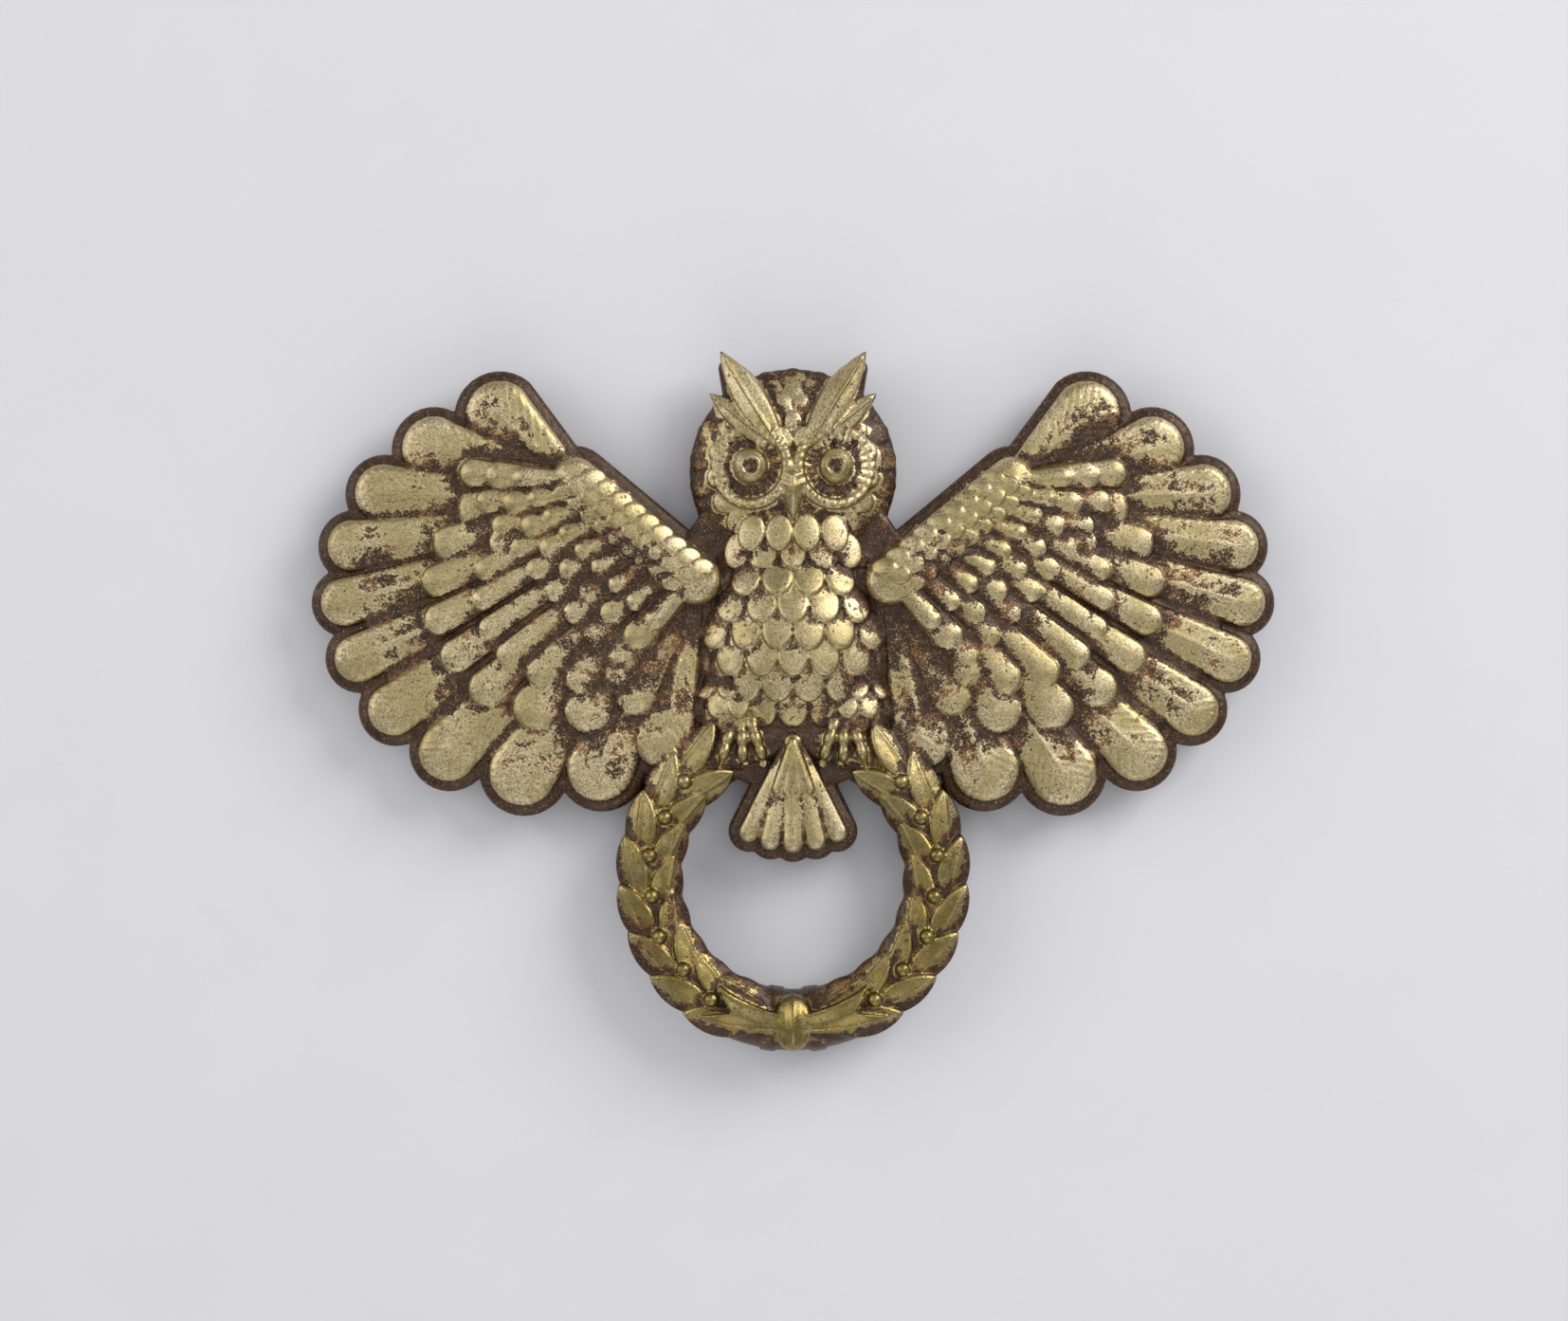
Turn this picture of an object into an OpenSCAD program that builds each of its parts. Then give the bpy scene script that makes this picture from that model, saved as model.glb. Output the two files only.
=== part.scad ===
// Hollow pressed cap badge: an owl with raised wings over an open laurel wreath,
// held to a cap by two split pins that are soldered into the hollow back.
// It lies face up. +Y runs to the owl's crown and +Z out of its face.

/* [Sheet] */
// Thickness of the pressed metal sheet
sheet = 0.5; // [0.4:0.05:0.6]
// Height of the rear rim above the surface that the folded pins rest on
rim_z = 2.4; // [2.0:0.1:3.2]
// Height of the flat ground that borders every raised part
ground_h = 1.3; // [1.0:0.1:1.8]
// Width of the ground that shows round the raised parts
border = 0.65; // [0.5:0.05:1.0]

/* [Wreath] */
// Radius of the wreath's middle line
wreath_r = 9.5; // [8:0.5:11.5]
// Radius of the round stem bundle that the leaves lie on
stem_r = 2.2; // [1.8:0.1:2.6]
// Length of a laurel leaf
leaf_len = 5.4; // [4.5:0.1:6.5]
// Width of a laurel leaf
leaf_w = 2.3; // [1.8:0.1:2.6]
// Leaf stations up each branch
leaf_stations = 7; // [5:1:8]
// Distance between a leaf and the wreath's middle line
leaf_offset = 0.75; // [0.5:0.05:1.0]
// Angle that a leaf turns away from its branch
leaf_splay = 16; // [10:1:22]
// How far the leaves stand above the stems
leaf_rise = 0.3; // [0.2:0.05:0.5]
// Width of the ribbon knot at the foot of the wreath
knot_w = 3.0; // [2.4:0.1:3.6]
// How far the knot stands above the leaves
knot_rise = 0.4; // [0.2:0.05:0.6]
// Length of a ribbon end beside the knot
ribbon_len = 4.2; // [3.5:0.1:4.8]
// Width of a ribbon end at its tip
ribbon_w = 2.1; // [1.6:0.1:2.4]

/* [Owl] */
// Radius that the breast's dome is cut from
body_r = 9.2; // [7.8:0.1:11]
// Half of the breast's length
body_half_len = 10.5; // [9:0.5:12.5]
// How far the breast's centre line lies behind the rear rim
body_sink = 5.4; // [4.4:0.1:6]
// Height of the breast's centre above the wreath's middle line
body_rise = 6.8; // [6:0.2:8]
// Radius of the sphere that the head's dome is cut from
head_r = 8.6; // [7.2:0.1:10.3]
// How far the head's centre lies behind the rear rim
head_sink = 5.0; // [4.2:0.1:5.8]
// Height of the head's centre above the breast's centre
head_rise = 10.6; // [9.5:0.2:12]
// Radius of the round thighs
thigh_r = 3.6; // [3.0:0.1:4.0]
// Radius of a toe
toe_r = 0.6; // [0.5:0.05:0.7]
// Length of a toe
toe_len = 2.6; // [2.0:0.1:3.0]
// Length of the tail below the feet
tail_len = 6.6; // [5:0.2:7.5]
// Width of a tail feather
tail_feather_w = 1.5; // [1.2:0.1:1.8]
// Angle between two tail feathers
tail_step = 13; // [11:1:15]
// Height of the tail feathers above the ground
tail_rise = 0.8; // [0.5:0.1:1.0]

/* [Face] */
// Distance between the face's middle and an eye
eye_x = 2.8; // [2.4:0.1:3.2]
// Radius of an eye
eye_r = 1.1; // [0.9:0.05:1.3]
// Radius of the ring of short feathers round an eye
disc_r = 2.3; // [2.0:0.1:2.5]
// Radius of that ring's round section
disc_bead_r = 0.45; // [0.35:0.05:0.55]
// Length of the beak
beak_len = 3.4; // [2.8:0.1:4.0]
// Radius of the beak's root
beak_r = 1.0; // [0.8:0.05:1.2]
// Distance between the head's middle and an ear tuft
tuft_x = 4.7; // [4.0:0.1:5.2]
// How far the tufts stand above the head
tuft_rise = 1.0; // [0.5:0.1:1.5]
// Height of the tufts above the ground
tuft_step = 1.2; // [0.8:0.1:1.6]

/* [Wings] */
// Span from wing tip to wing tip
wing_span = 64; // [53:1:77]
// Half of the feather fan's height
fan_half_h = 13.5; // [11:0.5:16]
// Flight feathers in each wing
feathers = 11; // [9:1:13]
// Width of the groove between two feathers
groove = 0.45; // [0.3:0.05:0.7]
// Angle of the first flight feather above the horizontal
first_angle = 62; // [55:1:68]
// Angle that the fan of flight feathers turns through
fan_sweep = 160; // [150:1:165]
// Reach of the coverts as a share of the flight feathers' reach
covert_reach = 0.58; // [0.5:0.02:0.66]
// Reach of the lesser coverts as a share of the flight feathers' reach
lesser_reach = 0.34; // [0.3:0.02:0.4]
// Height of the flight feathers above the ground
flight_step = 0.6; // [0.4:0.05:0.8]
// Height of the coverts above the flight feathers
covert_step = 0.5; // [0.3:0.05:0.6]
// Height of the lesser coverts above the coverts
lesser_step = 0.4; // [0.3:0.05:0.5]
// Height of the wing's arm above the lesser coverts
arm_step = 0.4; // [0.3:0.05:0.6]
// Half of the arm's width
arm_r = 1.7; // [1.4:0.1:2.0]
// Height of the shoulder above the breast's centre
shoulder_rise = 3.4; // [2.8:0.2:4]
// Distance outwards from the shoulder to the wrist
wrist_out = 8.0; // [7:0.2:9]
// Distance upwards from the shoulder to the wrist
wrist_up = 6.6; // [5.6:0.2:7.6]

/* [Split pins] */
// Distance between the two split pins
pin_spacing = 29; // [26:1:32]
// Radius of a split pin when it is closed
pin_r = 0.75; // [0.6:0.05:0.9]
// Length of the longer leg of a split pin
leg_len = 11; // [9:0.5:11.5]
// How much shorter the other leg is
leg_step = 1.0; // [0.5:0.1:2]
// Gap between a leg and the piece beside it
play = 0.05; // [0.04:0.01:0.08]
// Width of the collar round the shank's root
collar_w = 0.55; // [0.4:0.05:0.7]
// Thickness of the collar
collar_t = 0.4; // [0.3:0.05:0.5]
// Radius of the round plate that a split pin is soldered to
plate_r = 3.0; // [2.5:0.1:3.6]
// Thickness of that plate
plate_t = 0.5; // [0.4:0.05:0.7]

/* [Solder] */
// Width of the solder fillet round a plate
plate_solder_w = 0.6; // [0.4:0.05:0.8]
// Height of the solder fillet up a plate's edge
plate_solder_h = 0.35; // [0.2:0.05:0.4]
// Width of the solder fillet round a collar
pin_solder_w = 0.5; // [0.3:0.05:0.7]
// Height of the solder fillet up a collar
pin_solder_h = 0.28; // [0.2:0.02:0.3]

/* [Hidden] */
$fn = 48;
silver_wash = [0.72, 0.66, 0.50];
plate_brass = [0.71, 0.58, 0.30];
pin_brass = [0.74, 0.60, 0.31];
tin_solder = [0.62, 0.61, 0.58];

// Height of each layer's top above the rear rim
flight_h = ground_h + flight_step;
covert_h = flight_h + covert_step;
lesser_h = covert_h + lesser_step;
arm_h = lesser_h + arm_step;
tail_h = ground_h + tail_rise;
tuft_h = ground_h + tuft_step;
leaf_h = stem_r + leaf_rise;
knot_h = leaf_h + knot_rise;

// Places, measured from the wreath's centre
perch_y = wreath_r;
body_y = perch_y + body_rise;
head_y = body_y + head_rise;
body_rim_r = sqrt(body_r * body_r - body_sink * body_sink);
head_rim_r = sqrt(head_r * head_r - head_sink * head_sink);
top_y = head_y + head_rim_r + tuft_rise;
low_y = -(wreath_r + stem_r);
// Brings the middle of the badge's height to the origin
shift_y = -(top_y + low_y) / 2;
eye_set = 0.25;
eye_z = rim_z + sqrt(head_r * head_r - eye_x * eye_x) - head_sink - eye_set;
beak_z = rim_z + head_r - head_sink - beak_r / 10;
beak_slope = 10;
tail_root = [0, perch_y - 0.5];
tail_fan = 2;
thigh_sink = thigh_r / 3;
toe_splay = 18;
toe_slope = 6;
foot = [thigh_r - 0.2, perch_y + 0.9, rim_z + stem_r - 0.2];

// One wing, on the +X side
shoulder_in = 0.9;
shoulder = [body_rim_r - shoulder_in, body_y + shoulder_rise];
wrist = shoulder + [wrist_out, wrist_up];
fan_centre = shoulder + [wrist_out / 2, -1.0];
fan_step = fan_sweep / (feathers - 1);
widest_tip_r = fan_half_h * sin(fan_step) / 2 - groove / 2;
fan_half_w = wing_span / 2 - fan_centre[0] - widest_tip_r - border;
feather_root_r = 0.8;
largest_tip_r = 2.6;
covert_fill = 1.15;
lesser_fill = 1.25;
// Row of the ground's own feathers, which closes the gaps between the flight feathers
gap_reach = 0.9;

// Ground below the breast: two circles along its length and a block across the hips
breast_spread = 2.7;
hip_size = [2 * body_rim_r - 1, 4];
hip_y = perch_y + 1.4;

// Leaves up one branch, from beside the knot to below the feet
first_leaf_angle = -66;
leaf_sweep = 126;
leaf_point = 0.8;
ribbon_root_w = 0.9;
knot_inset = 0.3;

// Split pins
knuckle_r = pin_r / 2;
knuckle_len = 1.5 * pin_r;
shank_low = pin_r + play;
plate_z = rim_z + ground_h - sheet - plate_t;
collar_r = pin_r + collar_w;
pin_y = fan_centre[1] - 2.0;

// Steps along an arc, and how far a hollow's cutter runs out past the rear rim
tip_steps = 8;
root_steps = 4;
egg_steps = 16;
leaf_steps = 8;
fillet_steps = 4;
below = 1;

function dir(a) = [cos(a), sin(a)];
function fan_point(a, reach) = fan_centre + reach * [fan_half_w * cos(a), fan_half_h * sin(a)];
function arm_point(share) = wrist + (shoulder - wrist) * share;

// The innermost four feathers of a row get shorter, down to the one along the body
function trim(i, count) = let (k = max(0, i - (count - 4))) 1 - 0.03 * k - 0.022 * k * k;

// A feather: straight sides with a round tip and a round root
function feather_outline(root, tip, root_r, tip_r) =
    let (d = tip - root, a = atan2(d[1], d[0]))
    concat(
        [for (k = [0 : tip_steps]) tip + tip_r * dir(a - 90 + 180 * k / tip_steps)],
        [for (k = [0 : root_steps]) root + root_r * dir(a + 90 + 180 * k / root_steps)]
    );

// A row of feathers: how many, the first one's angle, their reach, how full and how far grown
module feather_row(count, start, reach, fill, grow) {
    tips = [for (i = [-1 : count - 1]) fan_point(start - fan_step * i, reach * trim(i, count))];
    for (i = [0 : count - 1]) {
        half_gap = norm(tips[i + 1] - tips[i]) / 2;
        tip_r = min(half_gap * fill, largest_tip_r) - groove / 2 + grow;
        // A feather that is narrower than its two walls has no room for a hollow
        if (tip_r > 0)
            polygon(feather_outline(arm_point(i / (count - 1)), tips[i + 1], feather_root_r + grow, tip_r));
    }
}

module flight_feathers(grow) { feather_row(feathers, first_angle, 1, 1, grow); }
module coverts(grow) {
    feather_row(feathers - 1, first_angle - fan_step / 2, covert_reach, covert_fill, grow);
}
module lesser_coverts(grow) {
    feather_row(feathers - 2, first_angle - fan_step, lesser_reach, lesser_fill, grow);
}
module arm(grow) { polygon(feather_outline(shoulder, wrist, arm_r + grow, arm_r + grow)); }

// Raises a flat outline from the rear rim, or from below it, to a height above it
module raised(h) { translate([0, 0, rim_z]) linear_extrude(h) children(); }
module hollow(h) { translate([0, 0, rim_z - below]) linear_extrude(h - sheet + below) children(); }

module both_sides() {
    children();
    mirror([1, 0, 0]) children();
}

// What stands above the rear rim, or above a level that is lower by some depth
module above_rim(depth) {
    intersection() {
        children();
        translate([-wing_span, -wing_span, rim_z - depth]) cube([2 * wing_span, 2 * wing_span, 4 * body_r]);
    }
}

function egg(r, half_len) =
    [for (k = [0 : egg_steps]) let (a = 180 * k / egg_steps - 90) [r * cos(a), half_len * sin(a)]];

module breast(inward, depth) {
    above_rim(depth) translate([0, body_y, rim_z - body_sink]) rotate([-90, 0, 0])
        rotate_extrude() polygon(egg(body_r - inward, body_half_len - inward));
}

module head(inward, depth) {
    above_rim(depth) translate([0, head_y, rim_z - head_sink]) sphere(r = head_r - inward);
}

module tufts() {
    both_sides() raised(tuft_h) translate([tuft_x, head_y]) polygon([
        [-3.2, head_rim_r * 0.6],
        [1.3, head_rim_r * 0.46],
        [0.5, head_rim_r + tuft_rise],
        [-0.7, head_rim_r + tuft_rise - 0.4],
    ]);
}

module face() {
    both_sides() translate([eye_x, head_y + 0.4, eye_z]) {
        rotate_extrude() translate([disc_r, 0]) circle(r = disc_bead_r);
        sphere(r = eye_r);
    }
    translate([0, head_y - 0.2, beak_z]) rotate([90 + beak_slope, 0, 0])
        cylinder(h = beak_len, r1 = beak_r, r2 = beak_r / 4);
}

module tail(grow) {
    for (i = [-tail_fan : tail_fan])
        polygon(feather_outline(tail_root, tail_root + tail_len * dir(tail_step * i - 90),
            tail_feather_w / 2 + grow, tail_feather_w / 2 + grow));
}

// A thigh and three toes on each side, which hold the wreath
module legs() {
    both_sides() {
        above_rim(0) translate([thigh_r, perch_y + 1.6, rim_z - thigh_sink]) sphere(r = thigh_r);
        for (i = [-1 : 1])
            translate(foot) rotate([90 + toe_slope, 0, toe_splay * i]) {
                cylinder(h = toe_len, r = toe_r);
                translate([0, 0, toe_len]) sphere(r = toe_r);
            }
    }
}

// A leaf along X that is pointed at both ends
function leaf_edge(k, len, w) =
    [len * (k / leaf_steps - 0.5), w / 2 * pow(sin(180 * k / leaf_steps), leaf_point)];
function leaf_outline(len, w) = concat(
    [for (k = [0 : leaf_steps]) leaf_edge(k, len, w)],
    [for (k = [leaf_steps - 1 : -1 : 1]) leaf_edge(k, len, -w)]
);

module leaves() {
    both_sides() for (k = [0 : leaf_stations - 1], side = [-1, 1])
        rotate(first_leaf_angle + leaf_sweep * k / (leaf_stations - 1))
            translate([wreath_r + side * leaf_offset, 0]) rotate(90 - side * leaf_splay)
                polygon(leaf_outline(leaf_len, leaf_w));
}

// The round bundle of stems, cut off at the rear rim or at some depth below it
module stems(tube_r, depth) {
    translate([0, 0, rim_z]) rotate_extrude() translate([wreath_r, 0]) intersection() {
        circle(r = tube_r);
        translate([-tube_r, -depth]) square([2 * tube_r, tube_r + depth]);
    }
}

module bow() {
    raised(knot_h) translate([0, -wreath_r]) square([knot_w, 2 * (stem_r - knot_inset)], center = true);
    both_sides() raised(leaf_h) translate([0, -wreath_r]) polygon([
        [0, -ribbon_root_w / 2],
        [knot_w / 2 + ribbon_len, -ribbon_w / 2],
        [knot_w / 2 + ribbon_len, ribbon_w / 2],
        [0, ribbon_root_w / 2],
    ]);
}

// The outline of the flat ground under everything but the wreath
module ground(grow) {
    both_sides() {
        flight_feathers(border + grow);
        arm(border + grow);
        feather_row(feathers - 1, first_angle - fan_step / 2, gap_reach, covert_fill, border + grow);
    }
    translate([0, head_y]) circle(r = head_rim_r + grow);
    for (side = [-1, 1])
        translate([0, body_y + side * breast_spread]) circle(r = body_rim_r + border + grow);
    translate([0, hip_y]) square(hip_size + [2 * grow, 2 * grow], center = true);
    tail(border + grow);
}

module badge_shell() {
    color(silver_wash) translate([0, shift_y, 0]) difference() {
        union() {
            raised(ground_h) ground(0);
            both_sides() {
                raised(flight_h) flight_feathers(0);
                raised(covert_h) coverts(0);
                raised(lesser_h) lesser_coverts(0);
                raised(arm_h) arm(0);
            }
            breast(0, 0);
            head(0, 0);
            tufts();
            face();
            legs();
            raised(tail_h) tail(0);
            stems(stem_r, 0);
            raised(leaf_h) leaves();
            bow();
        }
        hollow(ground_h) ground(-sheet);
        both_sides() {
            hollow(flight_h) flight_feathers(-sheet);
            hollow(covert_h) coverts(-sheet);
            hollow(lesser_h) lesser_coverts(-sheet);
            hollow(arm_h) arm(-sheet);
        }
        breast(sheet, below);
        head(sheet, below);
        stems(stem_r - sheet, below);
    }
}

// Moves a fixing to the pin on one side: -1 is left and 1 is right
module at_pin(side) { translate([side * pin_spacing / 2, pin_y + shift_y, 0]) children(); }

// A hollow-cheeked fillet in the corner between an edge at radius r and the face above it
module solder_ring(r, w, h) {
    mirror([0, 0, 1]) rotate_extrude() translate([r, 0]) polygon(concat(
        [[0, 0]],
        [for (k = [0 : fillet_steps])
            let (a = 90 * k / fillet_steps) [w * (1 - sin(a)), h * (1 - cos(a))]]
    ));
}

module anchor_plate(side) {
    color(plate_brass) at_pin(side) translate([0, 0, plate_z]) cylinder(h = plate_t, r = plate_r);
}

module plate_solder(side) {
    color(tin_solder) at_pin(side) translate([0, 0, plate_z + plate_t])
        solder_ring(plate_r, plate_solder_w, plate_solder_h);
}

// The closed end of a split pin: a round shank with a collar that lies on the plate
module pin_shank(side) {
    color(pin_brass) at_pin(side) {
        translate([0, 0, shank_low]) cylinder(h = plate_z - shank_low, r = pin_r);
        translate([0, 0, plate_z - collar_t]) cylinder(h = collar_t, r = collar_r);
    }
}

module pin_solder(side) {
    color(tin_solder) at_pin(side) translate([0, 0, plate_z])
        solder_ring(collar_r, pin_solder_w, pin_solder_h);
}

// One half-round leg, folded flat against the back. up is 1 for the leg that runs to +Y
module leg(side, up, len) {
    color(pin_brass) at_pin(side) translate([0, up * (knuckle_r + play), 0]) {
        rotate([-90 * up, 0, 0]) intersection() {
            union() {
                cylinder(h = len - pin_r, r = pin_r);
                translate([0, 0, len - pin_r]) sphere(r = pin_r);
            }
            translate([-2 * pin_r, up > 0 ? -2 * pin_r : 0, 0]) cube([4 * pin_r, 2 * pin_r, 2 * len]);
        }
        translate([0, 0, knuckle_r]) rotate([0, 90, 0])
            cylinder(h = knuckle_len, r = knuckle_r, center = true);
    }
}

badge_shell();
anchor_plate(-1);  // left_anchor_plate
anchor_plate(1);  // right_anchor_plate
plate_solder(-1);  // left_plate_solder
plate_solder(1);  // right_plate_solder
pin_shank(-1);  // left_pin_shank
pin_shank(1);  // right_pin_shank
pin_solder(-1);  // left_pin_solder
pin_solder(1);  // right_pin_solder
leg(-1, 1, leg_len);  // left_upper_leg
leg(-1, -1, leg_len - leg_step);  // left_lower_leg
leg(1, 1, leg_len);  // right_upper_leg
leg(1, -1, leg_len - leg_step);  // right_lower_leg
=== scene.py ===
"""A hollow pressed cap badge: an owl with raised wings over an open laurel wreath.

The front is made as a die sinker cuts a die. Feathers, leaves and domes are laid over each other, fused
into one skin, engraved, and given the thickness of the sheet. Two split pins of folded brass strip are
soldered to plates in the hollow back, and their legs lie folded flat.
"""

import math
from types import SimpleNamespace

import bmesh
import bpy
import numpy as np
from bpy.props import FloatProperty, FloatVectorProperty, IntProperty, PointerProperty
from mathutils import Matrix, Vector, noise


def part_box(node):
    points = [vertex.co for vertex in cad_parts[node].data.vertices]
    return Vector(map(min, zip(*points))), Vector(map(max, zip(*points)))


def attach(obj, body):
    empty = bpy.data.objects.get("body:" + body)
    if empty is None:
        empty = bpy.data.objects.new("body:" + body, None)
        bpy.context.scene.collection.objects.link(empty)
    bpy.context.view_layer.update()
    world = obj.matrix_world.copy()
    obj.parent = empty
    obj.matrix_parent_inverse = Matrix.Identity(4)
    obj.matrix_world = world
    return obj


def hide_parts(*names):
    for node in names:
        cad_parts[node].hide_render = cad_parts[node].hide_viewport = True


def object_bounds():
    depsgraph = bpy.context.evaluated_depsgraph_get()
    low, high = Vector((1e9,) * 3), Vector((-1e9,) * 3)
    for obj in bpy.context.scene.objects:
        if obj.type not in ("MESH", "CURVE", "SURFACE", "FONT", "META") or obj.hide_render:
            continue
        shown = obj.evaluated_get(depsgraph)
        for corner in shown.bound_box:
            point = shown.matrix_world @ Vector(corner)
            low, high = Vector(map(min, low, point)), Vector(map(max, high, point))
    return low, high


bl_info = {
    "name": "Owl cap badge",
    "version": (1, 0, 0),
    "blender": (4, 5, 0),
    "location": "View3D > Sidebar > Badge",
    "description": "Models a hollow pressed cap badge round its packed frame",
    "category": "Object",
}

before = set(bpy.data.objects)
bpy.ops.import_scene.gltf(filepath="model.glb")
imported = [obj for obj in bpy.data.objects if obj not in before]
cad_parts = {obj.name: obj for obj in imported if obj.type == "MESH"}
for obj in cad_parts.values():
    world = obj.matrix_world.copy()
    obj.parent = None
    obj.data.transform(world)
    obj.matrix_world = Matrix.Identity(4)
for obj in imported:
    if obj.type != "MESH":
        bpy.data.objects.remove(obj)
CAD_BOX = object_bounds()
MM = 0.001
SHELL_LOW, SHELL_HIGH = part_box("badge_shell")

# The fused skin's voxels and the cells of its height map in millimetres, and how many triangles are kept
VOXEL, COARSE_VOXEL = 0.1, 0.2
CELL = 0.2
SKIN_TRIANGLES = 150000
SHELL_TRIANGLES = 190000
# The back has never been rubbed, and keeps most of its patina
BACK_POLISH = 0.42

# The wing's plan in millimetres and degrees: wrist and fan centre from the shoulder, and the fan's sweep
WRIST = [8.0, 6.6]
FAN_CENTRE = [4.0, -1.0]
FIRST_ANGLE = 62
FAN_SWEEP = 160


def linear(code):
    """An sRGB hex value as a linear colour."""
    parts = [int(code[i : i + 2], 16) / 255 for i in (1, 3, 5)]
    return tuple(c / 12.92 if c <= 0.04045 else ((c + 0.055) / 1.055) ** 2.4 for c in parts)


def length(name, description, millimetres):
    """A size that a user can change, in metres."""
    default = millimetres * MM
    return FloatProperty(name=name, description=description, default=default, unit="LENGTH", precision=5)


def number(name, description, default, least):
    """A number of pieces that a user can change."""
    return IntProperty(name=name, description=description, default=default, min=least)


def colour(name, description, code):
    """A colour that a user can change."""
    return FloatVectorProperty(name=name, description=description, default=linear(code), subtype="COLOR")


class BadgeSizes(bpy.types.PropertyGroup):
    """Sizes of the badge's relief and fixings"""

    sheet: length("Sheet", "Thickness of the pressed sheet", 0.5)
    ground_h: length("Ground", "Height of the flat ground above the rear rim", 1.3)
    border: length("Border", "Width of the ground that shows round the raised parts", 0.65)
    wreath_r: length("Wreath radius", "Radius of the wreath's middle line", 9.5)
    stem_r: length("Stems", "Radius of the round bundle of stems", 2.05)
    leaf_len: length("Leaf length", "Length of a laurel leaf", 5.0)
    leaf_w: length("Leaf width", "Width of a laurel leaf", 2.35)
    berry_r: length("Berry", "Radius of a laurel berry", 0.5)
    body_r: length("Breast radius", "Radius that the breast's dome is cut from", 9.1)
    body_half_len: length("Breast length", "Half of the breast's length", 10.4)
    body_sink: length("Breast depth", "How far the breast's centre lies behind the rim", 5.4)
    body_rise: length("Breast rise", "Height of the breast's centre above the perch", 6.8)
    head_r: length("Head radius", "Radius of the sphere that the head is cut from", 8.5)
    head_sink: length("Head depth", "How far the head's centre lies behind the rim", 5.0)
    head_rise: length("Head rise", "Height of the head's centre above the breast's", 10.6)
    disc_r: length("Facial disc", "Radius of the ring of feathers round an eye", 2.5)
    eye_x: length("Eye spacing", "Distance between the face's middle and an eye", 2.8)
    eye_r: length("Eye", "Radius of an eye", 1.2)
    thigh_r: length("Thigh", "Radius of a round thigh", 3.5)
    toe_r: length("Toe", "Radius of a toe", 0.5)
    tail_len: length("Tail", "Length of the tail below the feet", 6.6)
    fan_half_h: length("Fan height", "Half of the height of a wing's fan of feathers", 13.45)
    groove: length("Groove", "Width of the groove between two feathers", 0.45)
    arm_r: length("Arm", "Half of the width of a wing's arm", 1.7)
    feathers: number("Feathers", "Flight feathers in each wing", 11, 8)
    leaf_stations: number("Leaf stations", "Leaf pairs up each branch", 8, 5)


class BadgeColours(bpy.types.PropertyGroup):
    """Colours of the badge's metals and of the stage"""

    silver: colour("Silver wash", "The worn silver wash on the raised parts", "#d0be96")
    tombak: colour("Tombak", "The red brass sheet where the wash has worn thin", "#988752")
    copper: colour("Copper bloom", "The orange-brown bloom at the edge of the patina", "#875a33")
    patina: colour("Patina", "The dark brown patina in the recesses", "#3a2616")
    pin: colour("Pin brass", "Drawn brass strip of the split pins", "#ab9058")
    plate: colour("Plate brass", "Stamped brass of the anchor plates", "#a5854a")
    solder: colour("Solder", "Soft tin solder, dulled", "#8f8d88")
    floor: colour("Floor", "The pale board that the badge lies on", "#e1e0e4")


def size(name):
    """One of the sizes in millimetres. The shell is modelled a thousand times too large, in units of a
    millimetre, because bevels and remeshing lose their accuracy on details of a hundredth of one."""
    value = getattr(bpy.context.scene.badge_sizes, name)
    return value / MM


def size_count(name):
    return getattr(bpy.context.scene.badge_sizes, name)


def direction(degrees):
    return np.array([math.cos(math.radians(degrees)), math.sin(math.radians(degrees))])


# Modelling by hand ------------------------------------------------------------------------------


def clear_selection():
    if bpy.context.object and bpy.context.object.mode != "OBJECT":
        bpy.ops.object.mode_set(mode="OBJECT")
    bpy.ops.object.select_all(action="DESELECT")


def select_only(*pieces):
    clear_selection()
    for piece in pieces:
        piece.select_set(True)
    bpy.context.view_layer.objects.active = pieces[0]


def start(add, **settings):
    """Adds a primitive with nothing else selected, with its place in its mesh."""
    clear_selection()
    add(**settings)
    bpy.ops.object.transform_apply(location=True, rotation=True, scale=True)
    return bpy.context.object


def edit(piece):
    select_only(piece)
    bpy.ops.object.mode_set(mode="EDIT")
    bpy.ops.mesh.select_all(action="DESELECT")


def pick(kind, test):
    """Selects, in edit mode, the vertices, edges or faces that pass a test."""
    mesh = bmesh.from_edit_mesh(bpy.context.object.data)
    mode = {"verts": "VERT", "edges": "EDGE", "faces": "FACE"}[kind]
    bpy.ops.mesh.select_mode(type=mode)
    bpy.ops.mesh.select_all(action="DESELECT")
    for part in getattr(mesh, kind):
        part.select = test(part)
    mesh.select_flush_mode()
    bmesh.update_edit_mesh(bpy.context.object.data)


def leave():
    bpy.ops.object.mode_set(mode="OBJECT")


def apply_modifier(piece, kind, **settings):
    select_only(piece)
    made = piece.modifiers.new(kind.title(), kind)
    for name, value in settings.items():
        setattr(made, name, value)
    bpy.ops.object.modifier_apply(modifier=made.name)


def read(items, name, width, kind=np.float32):
    """One value of all vertices or edges, as the rows of an array."""
    flat = np.empty(len(items) * width, kind)
    items.foreach_get(name, flat)
    return flat.reshape(-1, width)


def points(piece):
    return read(piece.data.vertices, "co", 3).astype(float)


def normals(piece):
    return read(piece.data.vertex_normals, "vector", 3).astype(float)


def edge_list(piece):
    """The two vertices of each edge."""
    return read(piece.data.edges, "vertices", 2, np.int32)


def move_points(piece, co):
    piece.data.vertices.foreach_set("co", np.asarray(co, np.float32).ravel())
    piece.data.update()


def copy_of(model):
    """A copy with a mesh of its own."""
    piece = model.copy()
    piece.data = model.data.copy()
    bpy.context.scene.collection.objects.link(piece)
    return piece


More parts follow.
